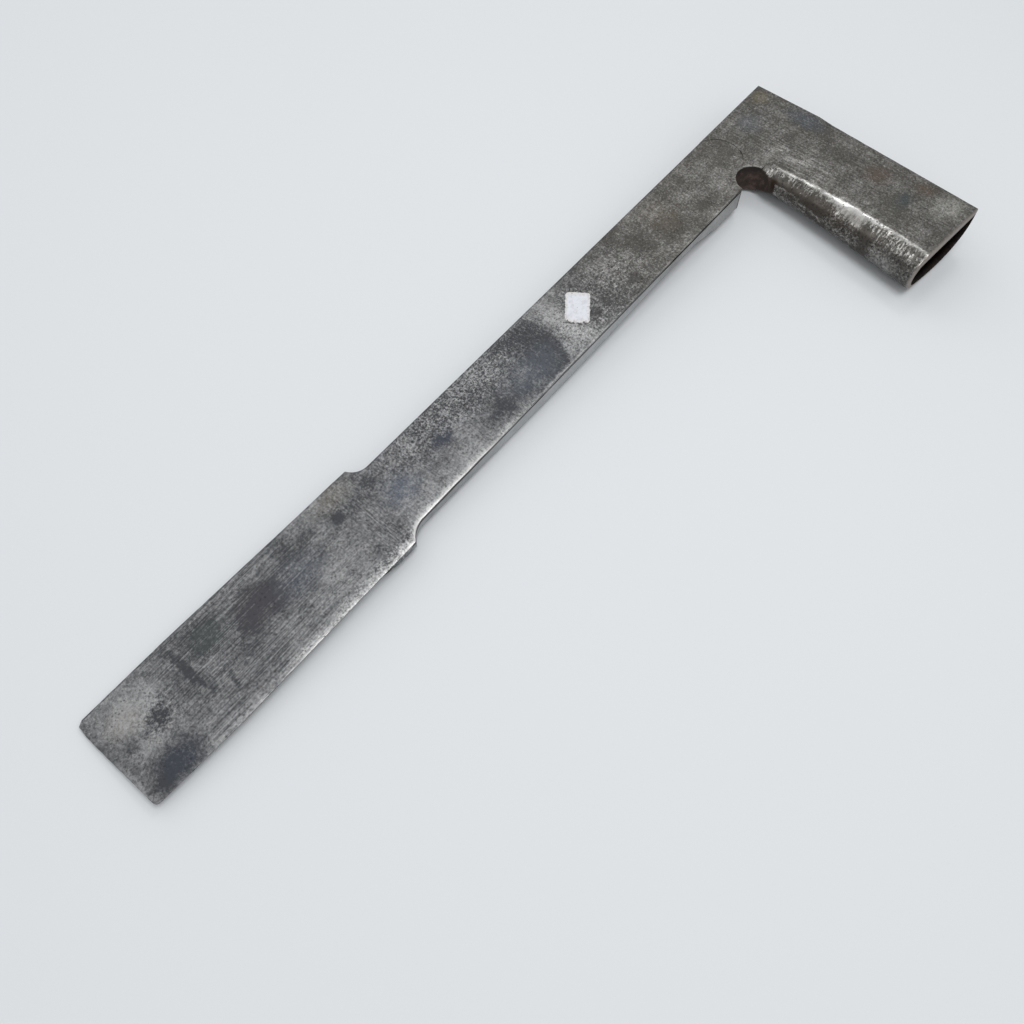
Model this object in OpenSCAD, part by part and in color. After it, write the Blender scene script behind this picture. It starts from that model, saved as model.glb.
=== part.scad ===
// Socketed mortise axe, all metal: a long flat blade with a hollow handle socket set across its end.
// It lies flat face up and rests on three spots: the end of the lap under the shank, the belly of
// the socket's mouth and the heel of the bevel at the bit's outer corner.
// Lengths along the blade are measured from the socket's back edge. Lengths across it are measured
// from the shank's outer edge towards the socket mouth. Depths are measured down from the flat face.

/* [Blade] */
// Length from the socket's back edge to the cutting edge
tool_l = 469.5; // [430:0.5:500]
// Width of the shank
shank_w = 36; // [34:0.5:40]
// Thickness of the shank where it meets the socket
shank_root_t = 6.4; // [6:0.1:8]
// Thickness of the shank at its thickest, half way along
shank_mid_t = 8.8; // [7:0.1:9.5]
// Thickness of the blade at its shoulders
neck_t = 5.2; // [4.5:0.1:6]
// Thickness of the upper welded layer that runs the length of the blade
face_t = 2; // [1.5:0.1:2.4]
// Chamfer worn along the top edge on the socket's side
edge_chamfer = 0.8; // [0.4:0.1:1.2]

/* [Bit] */
// Length of the widened bit, from its inner shoulder to the cutting edge
bit_l = 147; // [130:0.5:160]
// Width of the bit at its shoulders
bit_w = 46.8; // [44:0.2:48]
// Widening of the bit's outer side towards the cutting edge
bit_flare = 1.7; // [0:0.1:3]
// How far the bit's inner side is drawn in at the cutting edge
bit_draw_in = 1.1; // [0:0.1:2]
// How far the middle of the bit lies outside the middle of the shank
bit_shift = 0.3; // [0:0.1:1]
// Length of the ground bevel behind the cutting edge
bevel_l = 17; // [12:0.5:24]
// Thickness at the back of the ground bevel
bevel_t = 2; // [1.5:0.1:2.4]
// Thickness left at the worn cutting edge
edge_t = 0.3; // [0.2:0.1:0.6]
// Width of the bevel under each long side of the bit
side_bevel_w = 4.5; // [2:0.1:6]
// Distance from a shoulder at which the side bevel starts on the underside
side_bevel_start = 9; // [8:1:11]
// Distance from a shoulder at which the side bevel reaches the face
side_bevel_run = 23; // [12:1:30]

/* [Socket] */
// Length of the socket across the blade, from the shank's outer edge to the mouth
socket_l = 136.8; // [128:0.2:150]
// Width of the flat top of the socket, half way along it
flat_w = 44.1; // [42:0.1:47]
// Depth of the socket at its mouth
mouth_d = 24.8; // [23:0.1:27]
// Depth of the corner block and of the socket's inner end
root_d = 15.8; // [15:0.1:17]
// Distance from the shank's outer edge at which the hollow socket starts
hollow_start = 39; // [38:0.5:41]
// Wall thickness at the back edge of the socket
wall_back = 2.4; // [1.6:0.1:2.8]
// Wall thickness of the flat top next to the ridge
wall_ridge = 4.2; // [3:0.1:4.6]
// Wall thickness of the rounded inner side and of the belly
wall = 2.8; // [2.2:0.1:3.2]

/* [Corner] */
// Radius of the round notch in the inner corner
notch_r = 9.4; // [8:0.1:10.5]
// Radius of the rounded tongue where the shank is lapped on to the corner block
tongue_r = 14; // [12:0.5:16]
// Length of the lap under the shank at its full depth, from the socket's back edge
lap_x = 89; // [85:1:100]
// Depth of the lap under the shank
lap_d = 12.4; // [11:0.1:14]

/* [Label] */
// Width of the paper label
label_w = 12.1; // [8:0.1:16]
// Length of the paper label
label_l = 18.4; // [12:0.1:22]
// Turn of the label from the line of the blade
label_turn = 36.5; // [0:0.5:90]

/* [Hidden] */
$fn = 96;
over = 1;

// Blade stations, from the socket's back edge
weld_x = 329.5;
outer_shoulder_x = tool_l - bit_l;
inner_shoulder_x = outer_shoulder_x + 5.2;
thin_end_x = 150;
thick_start_x = 200;
thick_end_x = 235;
taper_x = 262;
taper_end_x = outer_shoulder_x - 20;

// Lap under the shank: it deepens from the foot to lap_deep_x and runs out at lap_end_x
lap_deep_x = 76;
lap_end_x = lap_x + 22;
foot = [60, 0, -root_d + 0.4];

// Round notch and the tongue beside it
notch_c = [60.4, 36.9];
tongue_c = [notch_c[0] - 0.4, notch_c[1] - notch_r - tongue_r];
tail_x = tongue_c[0] - tongue_r;
tongue_turn = asin(min(1, tongue_c[1] / tongue_r));

// Bit outline
bit_mid_y = shank_w / 2 - bit_shift;
bit_outer_y = bit_mid_y - bit_w / 2;
bit_inner_y = bit_mid_y + bit_w / 2;
bit_outer_tip_y = bit_outer_y - bit_flare;
bit_inner_tip_y = bit_inner_y - bit_draw_in;
flare_end_x = tool_l - 45;
inner_swell = 0.3;
corner_drop = 0.8;
corner_rise = 1.6;
corner_r = 2;

// Height of the square edge left above a side bevel, and the bevel's slope
edge_land = 0.3;
side_slope = (2 * neck_t - edge_land) / (2 * side_bevel_w);

// Shoulder fillets, and the angle that each turns through
outer_fillet_r = 9;
inner_fillet_r = 13.5;
outer_turn = acos(1 + bit_outer_y / outer_fillet_r);
inner_turn = acos(1 - (bit_inner_y - shank_w) / inner_fillet_r);
outer_fillet_c = [outer_shoulder_x - outer_fillet_r * sin(outer_turn), -outer_fillet_r];
inner_fillet_c = [inner_shoulder_x - inner_fillet_r * sin(inner_turn), shank_w + inner_fillet_r];

// Middle of the label
label_c = [185.9, 17.6, 0];

// Number of stations along the socket, and of steps in each part of a cross-section
stations = 12;
ring_top = 6;
ring_arc = 14;
ring_belly = 14;

// Skew and lean of the mouth, and how far the inside of its worn rim stands out
mouth_skew = 0.105;
mouth_lean = 0.01;
rim_out = 0.95;

// Back edge: how far it lies outside the zero line at the inner end, and its slope
back_out = 1.6;
back_slope = 0.059;
mouth_back_x = socket_back(socket_l);

// Ridge between the flat top and the rounded side: its bow, and where the bow turns
ridge_bow = 0.0012;
ridge_bow_y = 75.4;

// Rounded side: its middle, how far that moves out at either end, its radius as a share of the
// depth, how far it is set below the face, and the angles at which it starts and ends
round_mid_x = 46.4;
round_mouth_out = 2;
round_root_out = 1;
round_share = 0.4;
round_share_gain = 0.045;
round_drop = 0.5;
facet_angle = 52;
belly_angle = -75;

// Belly: where its curve is lowest, and how far it leans out past the back edge
belly_low_t = 0.45;
back_swell = 2;

function along(y) = max(0, y - hollow_start) / (socket_l - hollow_start);
function socket_back(y) = -back_out + back_slope * max(0, y - hollow_start);
function socket_ridge(y) = flat_w + ridge_bow * pow(y - ridge_bow_y, 2);
function socket_depth(y) = root_d + (mouth_d - root_d) * along(y);

// Radius and centre of the rounded inner side
function round_r(y) = (round_share + round_share_gain * along(y)) * socket_depth(y);
function round_x(y) =
    round_mid_x + round_mouth_out * pow(along(y), 2) + round_root_out * pow(1 - along(y), 8);

// Plane of the mouth, skewed across the socket and leaning outwards below
function mouth_y(x, z) = socket_l - mouth_skew * (x - mouth_back_x) - mouth_lean * z;

function arc(c, r, from, to, steps) =
    [for (i = [0:steps])
        let (a = from + (to - from) * i / steps)
        c + r * [cos(a), sin(a)]];

function bezier(a, b, c, d, t) =
    a * pow(1 - t, 3) + b * 3 * t * pow(1 - t, 2) + c * 3 * t * t * (1 - t) + d * t * t * t;

// One cross-section as [x, z] points: flat top, ridge, facet, round inner side and full belly.
// back is the upper back corner, ridge the end of the flat top, c and r the rounded side,
// land the height of the back edge, depth the lowest reach of the belly.
function section(back, ridge, c, r, land, depth) =
    let (
        low = back - [0, land],
        start = c + r * [cos(belly_angle), sin(belly_angle)],
        t = belly_low_t,
        pull = (depth + start[1] * pow(1 - t, 3) + low[1] * pow(t, 3)) / (3 * t * (1 - t)),
        lead = (start[1] + pull) * tan(-belly_angle)
    )
    concat(
        [for (i = [0:ring_top - 1]) back + (ridge - back) * i / (ring_top - 1)],
        arc(c, r, facet_angle, belly_angle, ring_arc),
        [for (i = [1:ring_belly])
            bezier(start, [start[0] - lead, -pull], [back[0] - back_swell, -pull], low, i / ring_belly)]
    );

function outer_section(y) =
    section([socket_back(y), 0], [socket_ridge(y), 0],
        [round_x(y), -round_r(y) - round_drop], round_r(y), 1, socket_depth(y));
function inner_section(y) =
    section([socket_back(y) + wall_back, -wall_back], [socket_ridge(y) - wall_ridge, -wall_ridge],
        [round_x(y) - 0.3, -round_r(y) - 0.4], round_r(y) - wall, 0.8, socket_depth(y) - wall);

// A section set at station s between the inner end and the skewed mouth. The worn rim stands
// out further on the inside, by out.
function placed(points, s, out = 0) =
    [for (p = points) [p[0], hollow_start + s * (mouth_y(p[0], p[1]) + out - hollow_start), p[1]]];
function station_y(s) = hollow_start + s * (socket_l - hollow_start);

// Lying pose: the plane through the three points that touch the bench is turned level
mouth_ring = placed(outer_section(socket_l), 1);
mouth_low = min([for (p = mouth_ring) p[2]]);
touch_mouth = [for (p = mouth_ring) if (p[2] == mouth_low) p][0];
heel_x = tool_l - bevel_l;
heel_out = bit_flare * (heel_x - flare_end_x) / (flare_end_x - outer_shoulder_x);
touch_tip = [heel_x, bit_outer_tip_y - heel_out + (bevel_t - edge_land) / side_slope, -bevel_t];
bench = cross(touch_tip - foot, touch_mouth - foot);
up = bench / norm(bench);
lean_angle = acos(up[2]);
lean_axis = cross(up, [0, 0, 1]) / sin(lean_angle);

function turned(p) =
    p * cos(lean_angle) + cross(lean_axis, p) * sin(lean_angle)
    + lean_axis * (lean_axis * p) * (1 - cos(lean_angle));

// Middle of the space that the turned tool takes up, from its outermost points
poll = [-back_out, 0, -1];
edge_mid = [tool_l, shank_w / 2, 0];
rim = placed(inner_section(socket_l), 1, rim_out);
rim_reach = max([for (p = rim) turned(p)[1]]);
bit_corner = [flare_end_x, bit_outer_tip_y, 0];
mid = [(turned(poll)[0] + turned(edge_mid)[0]) / 2, (rim_reach + turned(bit_corner)[1]) / 2];

module lying() {
    translate([-mid[0], -mid[1], up * -foot])
        rotate(a = lean_angle, v = lean_axis)
            children();
}

// Upright wall over the whole depth, from a plan outline
module wall_over(top = over, bottom = -2 * mouth_d) {
    translate([0, 0, bottom])
        linear_extrude(top - bottom)
            children();
}

// Side profile carried across the blade, drawn in x and depth
module across(from = -30, to = 80) {
    translate([0, to, 0])
        rotate([90, 0, 0])
            linear_extrude(to - from)
                children();
}

module notch() {
    translate([notch_c[0], notch_c[1], -2 * mouth_d])
        cylinder(r = notch_r, h = 3 * mouth_d);
}

// Outline of the whole blade: round tongue, outer shoulder, bit, inner shoulder. The cutting edge
// falls away to the outer corner and the inner corner is rounded.
function blade_outline() =
    let (
        outer_corner = [tool_l - corner_drop, bit_outer_tip_y + corner_rise],
        full = [tool_l, bit_outer_tip_y + bit_w / 3],
        inner_corner = [tool_l - corner_r, bit_inner_tip_y - corner_r]
    )
    concat(
        arc(tongue_c, tongue_r, 180 - tongue_turn, 180 + tongue_turn, 30),
        [[tongue_c[0], 0]],
        arc(outer_fillet_c, outer_fillet_r, 90, 90 - outer_turn, 14),
        [[flare_end_x, bit_outer_tip_y], [tool_l - 4 * corner_drop, bit_outer_tip_y + 0.2]],
        [for (i = [0:6])
            bezier(outer_corner, outer_corner + [0.4, 2], full - [0, 6], full, i / 6)],
        arc(inner_corner, corner_r, 0, 90, 6),
        [[flare_end_x, bit_inner_y + inner_swell]],
        arc(inner_fillet_c, inner_fillet_r, inner_turn - 90, -90, 14),
        [[tongue_c[0], shank_w], [tongue_c[0], 2 * tongue_c[1]]]
    );

// Side profile of the blade, without the lap under its end
module blade_profile() {
    polygon([[tail_x - over, 0], [tail_x - over, -shank_root_t], [lap_end_x, -shank_root_t],
             [thin_end_x, -shank_root_t - 0.2], [thick_start_x, -shank_mid_t],
             [thick_end_x, -shank_mid_t], [taper_x, -shank_mid_t + 0.6],
             [taper_end_x, -neck_t - 0.9], [inner_shoulder_x, -neck_t],
             [tool_l - bevel_l, -bevel_t], [tool_l, -edge_t], [tool_l, 0]]);
}

// Wedge taken from under one long side of the bit, the edge running from a to b and on past the
// end of the blade. It starts as a point on the underside and reaches the face further on.
module side_bevel(a, b, inward) {
    step = (b - a) / norm(b - a);
    ramp = a + step * side_bevel_start;
    full = a + step * side_bevel_run;
    past = b + step * 2 * (tool_l - flare_end_x);
    wedge = [[-over, over * side_slope - edge_land], [2 * side_bevel_w, -2 * neck_t],
             [-over, -2 * neck_t]];
    points = concat(
        [for (p = [full, past], q = wedge) [p[0], p[1] + inward * q[0], q[1]]],
        [[ramp[0], ramp[1] + inward * 0.1, -neck_t - 0.1], [ramp[0], ramp[1] - inward * over, -2 * neck_t]]
    );
    hull()
        polyhedron(points, [[0, 1, 2], [3, 4, 5], [6, 7, 0]]);
}

module blade() {
    difference() {
        intersection() {
            wall_over()
                polygon(blade_outline());
            across()
                blade_profile();
        }
        notch();
        // Chamfer along the shank's top edge
        translate([(inner_shoulder_x - inner_fillet_r) / 2, shank_w, 0])
            rotate([45, 0, 0])
                cube([inner_shoulder_x - inner_fillet_r, edge_chamfer * sqrt(2), edge_chamfer * sqrt(2)],
                    center = true);
    }
}

// The part of the blade past the weld, with its side bevels
module bit() {
    difference() {
        intersection() {
            blade();
            bit_side();
        }
        side_bevel([outer_shoulder_x, bit_outer_y], [flare_end_x, bit_outer_tip_y], 1);
        side_bevel([inner_shoulder_x, bit_inner_y], [flare_end_x, bit_inner_y + inner_swell], -1);
    }
}

// Everything deeper than the face layer, or within it
module below_face() {
    translate([0, -bit_w, -2 * mouth_d - face_t])
        cube([tool_l + over, 3 * bit_w, 2 * mouth_d]);
}

module face_layer() {
    translate([0, -bit_w, -face_t])
        cube([tool_l + over, 3 * bit_w, face_t + over]);
}

module bit_side() {
    translate([weld_x, -bit_w, -mouth_d])
        cube([tool_l, 3 * bit_w, 2 * mouth_d]);
}

// Hardened facing of the bit: it carries the cutting edge
module bit_steel() {
    color("#a3a6a9")
        lying()
            intersection() {
                bit();
                face_layer();
            }
}

// Softer backing under the bit's facing
module bit_back() {
    color("#83868a")
        lying()
            intersection() {
                bit();
                below_face();
            }
}

// Upper layer of the shank, ending in the rounded tongue on the corner block
module shank_face() {
    color("#909396")
        lying()
            difference() {
                intersection() {
                    blade();
                    face_layer();
                }
                bit_side();
            }
}

// Lower layer of the shank
module shank_back() {
    color("#75787b")
        lying()
            difference() {
                intersection() {
                    blade();
                    below_face();
                }
                bit_side();
            }
}

// Solid corner block: it closes the socket and runs on as a lap under the shank
module socket_root() {
    y = hollow_start;
    color("#8b8a84")
        lying()
            difference() {
                union() {
                    across(0, hollow_start)
                        polygon(outer_section(y));
                    across(0, shank_w)
                        polygon([[round_x(y) - 5, 0], [lap_end_x, 0], [lap_end_x, -shank_root_t],
                                 [lap_x, -lap_d], [lap_deep_x, -lap_d], [foot[0], foot[2]],
                                 [round_x(y), -root_d]]);
                }
                notch();
                wall_over(over, -shank_root_t)
                    polygon(blade_outline());
                translate([lap_end_x, -over, -2 * mouth_d])
                    cube([over, shank_w + 2 * over, 3 * mouth_d]);
            }
}

// Hollow socket: one plate folded round and welded shut along its back edge
module socket_shell() {
    n = len(outer_section(hollow_start));
    rows = [for (i = [0:stations])
        let (s = i / stations)
        concat(placed(outer_section(station_y(s)), s), placed(inner_section(station_y(s)), s, rim_out))];
    points = [for (row = rows) each row];
    w = 2 * n;
    function at(i, j, inner) = i * w + (j % n) + (inner ? n : 0);
    outside = [for (i = [0:stations - 1], j = [0:n - 1])
        [at(i, j, false), at(i + 1, j, false), at(i + 1, j + 1, false), at(i, j + 1, false)]];
    inside = [for (i = [0:stations - 1], j = [0:n - 1])
        [at(i, j, true), at(i, j + 1, true), at(i + 1, j + 1, true), at(i + 1, j, true)]];
    closed_end = [for (j = [0:n - 1])
        [at(0, j, false), at(0, j + 1, false), at(0, j + 1, true), at(0, j, true)]];
    last = stations;
    mouth_rim = [for (j = [0:n - 1])
        [at(last, j, false), at(last, j, true), at(last, j + 1, true), at(last, j + 1, false)]];
    color("#979894")
        lying()
            difference() {
                polyhedron(points, concat(outside, inside, closed_end, mouth_rim), convexity = 6);
                notch();
            }
}

// Blank paper label stuck on the shank, with a torn lower edge
module price_label() {
    corner = 1.6;
    color("#e6e4ec")
        lying()
            translate(label_c)
                rotate(label_turn)
                    linear_extrude(0.15)
                        difference() {
                            union() {
                                square([label_l - 2 * corner, label_w], center = true);
                                square([label_l, label_w - 2 * corner], center = true);
                                for (sx = [-1, 1], sy = [-1, 1])
                                    translate([sx * (label_l / 2 - corner), sy * (label_w / 2 - corner)])
                                        circle(r = corner);
                            }
                            for (k = [-2:2])
                                translate([label_l / 2 + 0.5, k * label_w / 5 + 0.4])
                                    circle(r = 0.9);
                        }
}

bit_steel();
bit_back();
shank_face();
shank_back();
socket_root();
socket_shell();
price_label();
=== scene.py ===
import math
import bpy
import numpy as np
from mathutils import Matrix, Vector


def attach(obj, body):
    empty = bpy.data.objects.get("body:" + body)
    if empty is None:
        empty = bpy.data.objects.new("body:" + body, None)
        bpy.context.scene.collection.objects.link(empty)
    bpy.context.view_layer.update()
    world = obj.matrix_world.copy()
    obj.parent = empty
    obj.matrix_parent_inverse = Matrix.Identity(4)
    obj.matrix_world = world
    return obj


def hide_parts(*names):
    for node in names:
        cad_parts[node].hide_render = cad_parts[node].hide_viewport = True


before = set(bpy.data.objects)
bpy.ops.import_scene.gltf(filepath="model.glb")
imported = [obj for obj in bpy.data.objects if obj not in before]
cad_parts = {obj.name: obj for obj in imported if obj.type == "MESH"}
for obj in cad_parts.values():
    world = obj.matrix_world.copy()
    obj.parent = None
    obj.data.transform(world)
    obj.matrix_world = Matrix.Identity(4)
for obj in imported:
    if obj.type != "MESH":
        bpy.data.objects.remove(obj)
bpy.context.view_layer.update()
print("frame loaded")

# The tool lies tilted on three spots. Its own coordinates are millimetres: x from the socket's back
# edge to the cutting edge, y from the shank's outer edge to the socket's mouth, z up from the face
lying = {
    "alongBlade": (0.999456, 0.00111612, -0.0329485),
    "acrossBlade": (0.00111612, 0.997708, 0.0676533),
    "outOfFace": (0.0329485, -0.0676533, 0.997165),
    "shift": (-233.816, -65.5853, 17.3332),
}
toolAxes = np.array([lying["alongBlade"], lying["acrossBlade"], lying["outOfFace"]])
toolShift = np.array(lying["shift"])
perMetre = 1000


def layDown(points):  # tool millimetres to bench metres: each coordinate along its axis, then the shift
    return (points @ toolAxes + toolShift) / perMetre


# Camera, at the photograph's angle
camera = {
    "place": (0.212813, 0.0916332, 0.37633), "focalPixels": 950, "imageWidth": 1024,
    "sensorWidth": 36, "nearest": 0.01,
    "right": (-0.634443, 0.769501, 0.0731707), "up": (-0.672111, -0.595936, 0.439454),
    "back": (0.38176, 0.229631, 0.895285),
}
lens = bpy.data.cameras.new("photoLens")
lens.sensor_width = camera["sensorWidth"]
lens.lens = camera["focalPixels"] / camera["imageWidth"] * lens.sensor_width
lens.clip_start = camera["nearest"]
eye = bpy.data.objects.new("photoCamera", lens)
looking = Matrix((camera["right"], camera["up"], camera["back"])).transposed().to_4x4()
eye.matrix_world = Matrix.Translation(camera["place"]) @ looking
bpy.context.scene.collection.objects.link(eye)
bpy.context.scene.camera = eye
print("camera set")


# Curves and meshes that the pieces share
def softStep(low, high, value):  # 0 below low, 1 above high, an S curve between
    t = np.clip((value - low) / (high - low), 0, 1)
    return t * t * (3 - 2 * t)


def fade(distance, reach):  # 1 at no distance, falling evenly to 0 at the reach
    return np.clip(1 - distance / reach, 0, 1)


crossing = {"waves": 5, "seedTurn": 1.7, "waveTurn": 2.399, "shortest": 0.7, "longer": 0.17, "height": 3.2}


def ripple(x, y, size, seed):  # uneven waves of about one size, -1 to 1: a sum of crossing sines
    total = 0
    for wave in range(crossing["waves"]):
        angle = seed * crossing["seedTurn"] + wave * crossing["waveTurn"]
        pitch = size * (crossing["shortest"] + crossing["longer"] * wave)
        along = x * math.cos(angle) + y * math.sin(angle)
        total = total + np.sin(along * 2 * math.pi / pitch + seed * (wave + 1))
    return total / crossing["height"]


def addPiece(name, points, quads, sharp, marks):  # marks are numbers for the finish, one at each point
    mesh = bpy.data.meshes.new(name)
    mesh.from_pydata(layDown(points).tolist(), [], quads.tolist())
    for mark, values in marks.items():
        stored = mesh.attributes.new(mark, "FLOAT", "POINT")
        stored.data.foreach_set("value", values.astype(np.float32).ravel())
    mesh.polygons.foreach_set("use_smooth", np.ones(len(mesh.polygons), bool))
    mesh.set_sharp_from_angle(angle=math.radians(sharp))
    mesh.update()
    piece = bpy.data.objects.new(name, mesh)
    bpy.context.scene.collection.objects.link(piece)
    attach(piece, "root")
    return piece


def boxSkin(along, across, down):
    # The six faces of a lattice box, welded: each corner's place in the box from 0 to 1, and quads
    i, j, k = np.meshgrid(np.arange(along + 1), np.arange(across + 1), np.arange(down + 1), indexing="ij")
    number = (i * (across + 1) + j) * (down + 1) + k

    def sheet(n, turned):
        quads = np.stack([n[:-1, :-1], n[1:, :-1], n[1:, 1:], n[:-1, 1:]], -1).reshape(-1, 4)
        return quads[:, ::-1] if turned else quads

    quads = np.concatenate([sheet(number[:, :, 0], False), sheet(number[:, :, -1], True),
                            sheet(number[:, 0], True), sheet(number[:, -1], False),
                            sheet(number[0], False), sheet(number[-1], True)])
    used, quads = np.unique(quads, return_inverse=True)
    place = np.stack([i, j, k], -1).reshape(-1, 3)[used] / (along, across, down)
    return place, quads.reshape(-1, 4)


def crowd(t, pull):  # moves evenly spaced values towards both ends
    return t - pull * np.sin(2 * math.pi * t) / (2 * math.pi)


def roundedDrop(distance, radius):  # how far a rounded edge has dropped at a distance from the side
    reach = np.clip(radius - distance, 0, radius)
    return radius - np.sqrt(radius ** 2 - reach ** 2)


# Outline of the blade, shared by its two plates
outline = {
    "width": 36, "outerShoulder": 322.5, "innerShoulder": 327.7, "weld": 329.5, "tip": 469.5,
    "outerFillet": 9, "innerFillet": 13.5, "bitOuter": -5.7, "bitInner": 41.1, "flareEnd": 424.5,
    "flareOuter": -7.4, "flareInner": 41.4, "outerEndX": 466, "outerEndY": -7.3,
    "innerEndX": 467.5, "innerEndY": 40.0, "innerCorner": 2,
    "edgeY": (-7.4, -7.2, -5.8, -3, 1, 8.2), "edgeX": (464.5, 466.3, 468.7, 469.15, 469.4, 469.5),
    "layer": 2, "bevelStart": 452.5, "edgeThickness": 0.3,
}
# The shank's round tongue, welded on to the corner, and the notch beside it: middle x and y, radius
tongue = (60, 13.5, 14)
notch = (60.4, 36.9, 9.4)
# Shallow waves of a forged face, which stop at its edges
forged = {"depth": 0.03, "size": 22, "seed": 3, "edge": 3}


def outerSide(x):  # 0 on the shank, an arc out to the shoulder, then a slow flare
    o = outline
    turn = math.acos(1 + o["bitOuter"] / o["outerFillet"])
    start = o["outerShoulder"] - o["outerFillet"] * math.sin(turn)
    arc = -o["outerFillet"] + np.sqrt(np.clip(o["outerFillet"] ** 2 - (x - start) ** 2, 0, None))
    arc = np.maximum(arc, o["bitOuter"])
    bit = np.interp(x, [o["outerShoulder"], o["flareEnd"], o["outerEndX"]],
                    [o["bitOuter"], o["flareOuter"], o["outerEndY"]])
    return np.where(x < start, 0, np.where(x < o["outerShoulder"], arc, bit))


def innerSide(x):  # the shank's width, an arc out to the inner shoulder, then nearly straight
    o = outline
    turn = math.acos(1 - (o["bitInner"] - o["width"]) / o["innerFillet"])
    start = o["innerShoulder"] - o["innerFillet"] * math.sin(turn)
    lift = o["innerFillet"] - np.sqrt(np.clip(o["innerFillet"] ** 2 - (x - start) ** 2, 0, None))
    arc = np.minimum(o["width"] + lift, o["bitInner"])
    bit = np.interp(x, [o["innerShoulder"], o["flareEnd"], o["innerEndX"]],
                    [o["bitInner"], o["flareInner"], o["innerEndY"]])
    return np.where(x < start, o["width"], np.where(x < o["innerShoulder"], arc, bit))


def cuttingEdge(y):  # falls away to the outer corner, with a small radius at the inner one
    o = outline
    past = np.clip(y - (o["innerEndY"] - o["innerCorner"]), 0, o["innerCorner"])
    edge = np.interp(y, o["edgeY"], o["edgeX"])
    return edge - (o["innerCorner"] - np.sqrt(o["innerCorner"] ** 2 - past ** 2))


def forgedWaves(x, y, fromSide):  # how far the face dips: ripples, fading to 0 at the sides
    waves = 1 + ripple(x, y, forged["size"], forged["seed"])
    return forged["depth"] * waves * softStep(0, forged["edge"], fromSide)


# Upper layer of the shank. A pair is where a soft step starts and where it ends
shankPlate = {
    "steps": (300, 76, 6), "crowdAcross": 0.96, "crowdAlong": 0.5, "tonguePoints": 200,
    "notchPoints": 120, "rowStart": 100, "startShare": 0.22, "edgeRound": 0.35, "flat": (52, 58),
    "seamRise": (68, 76), "seamFade": (240, 216), "seamLevels": (0.25, 0.6),
    "seamRows": (0.985, 1), "seamDepth": 0.7, "roll": (225, 300), "rollWidth": 7, "rollDrop": 0.7,
    "nick": 0.1, "nickSize": 14, "nickRows": (0.9, 1), "nickRise": (90, 110),
    "thinShine": 0.4, "thinWidth": 1.3, "thinRise": (72, 78), "wideWidth": 3.4,
    "wideRise": (225, 270), "rimWidth": 0.9, "rimLevels": 0.3, "shineLevels": 0.2, "sharp": 35,
}


def tongueLine(share):
    # The plate's near end as points at equal steps: up round the tongue's arc, then round the notch
    tongueX, tongueY, tongueRadius = tongue
    notchX, notchY, notchRadius = notch
    lean = math.asin(tongueY / tongueRadius)
    end = math.asin((outline["width"] - notchY) / notchRadius)
    first = np.linspace(math.pi + lean, math.pi - lean, shankPlate["tonguePoints"])
    second = np.linspace(-math.pi / 2, end, shankPlate["notchPoints"])
    x = np.concatenate([tongueX + tongueRadius * np.cos(first), notchX + notchRadius * np.cos(second)])
    y = np.concatenate([tongueY + tongueRadius * np.sin(first), notchY + notchRadius * np.sin(second)])
    length = np.concatenate([[0], np.cumsum(np.hypot(np.diff(x), np.diff(y)))])
    return np.interp(share * length[-1], length, x), np.interp(share * length[-1], length, y)


def makeShankPlate():
    # Rows go from the tongue's line to the weld, each from the outer side to the inner one. The top
    # drops by an arc at the long edges, by a parabola over the inner roll, and by the forged waves
    s = shankPlate
    o = outline
    place, quads = boxSkin(*s["steps"])
    along = place[:, 0]
    share = crowd(place[:, 1], s["crowdAcross"])
    level = place[:, 2]
    near = along < s["startShare"]
    startX, startY = tongueLine(share)
    inStart = np.clip(along / s["startShare"], 0, 1)
    beyond = crowd(np.clip((along - s["startShare"]) / (1 - s["startShare"]), 0, 1), s["crowdAlong"])
    rowX = s["rowStart"] + (o["weld"] - s["rowStart"]) * beyond
    x = np.where(near, startX + (s["rowStart"] - startX) * inStart, rowX)
    low = outerSide(x)
    high = innerSide(x)
    y = np.where(near, startY + (share * o["width"] - startY) * inStart, low + share * (high - low))
    fromOuter = np.clip(y - low, 0, None)
    fromInner = np.clip(high - y, 0, None)
    fromSide = np.minimum(fromOuter, fromInner)
    top = -roundedDrop(fromSide, s["edgeRound"])
    top -= s["rollDrop"] * softStep(*s["roll"], x) * fade(fromInner, s["rollWidth"]) ** 2
    top -= forgedWaves(x, y, fromSide) * softStep(*s["flat"], x)
    z = top + level * (-o["layer"] - top)
    seam = softStep(*s["seamRise"], x) * softStep(*s["seamFade"], x)
    recess = s["seamDepth"] * seam * softStep(*s["seamLevels"], level) * softStep(*s["seamRows"], share)
    nick = s["nick"] * (1 + ripple(x, 0 * x, s["nickSize"], 1))
    nick = nick * softStep(*s["nickRows"], share) * softStep(*s["nickRise"], x)
    y = y - recess - nick
    # Painted highlight, partly real wear: a thin line along the inner edge, and from the roll on a wider
    # band, are lightened towards the polish colour
    thin = s["thinShine"] * fade(fromInner, s["thinWidth"]) * softStep(*s["thinRise"], x)
    shine = np.maximum(thin, fade(fromInner, s["wideWidth"]) * softStep(*s["wideRise"], x))
    # Painted shade: a thin band along the outer edge is darkened, as where the rounded edge turns from the
    # light
    marks = {"rim": fade(fromOuter, s["rimWidth"]) * (level < s["rimLevels"]),
             "wearAndHighlight": shine * (level < s["shineLevels"])}
    return addPiece("shankPlate", np.stack([x, y, z], -1), quads, s["sharp"], marks)


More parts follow.
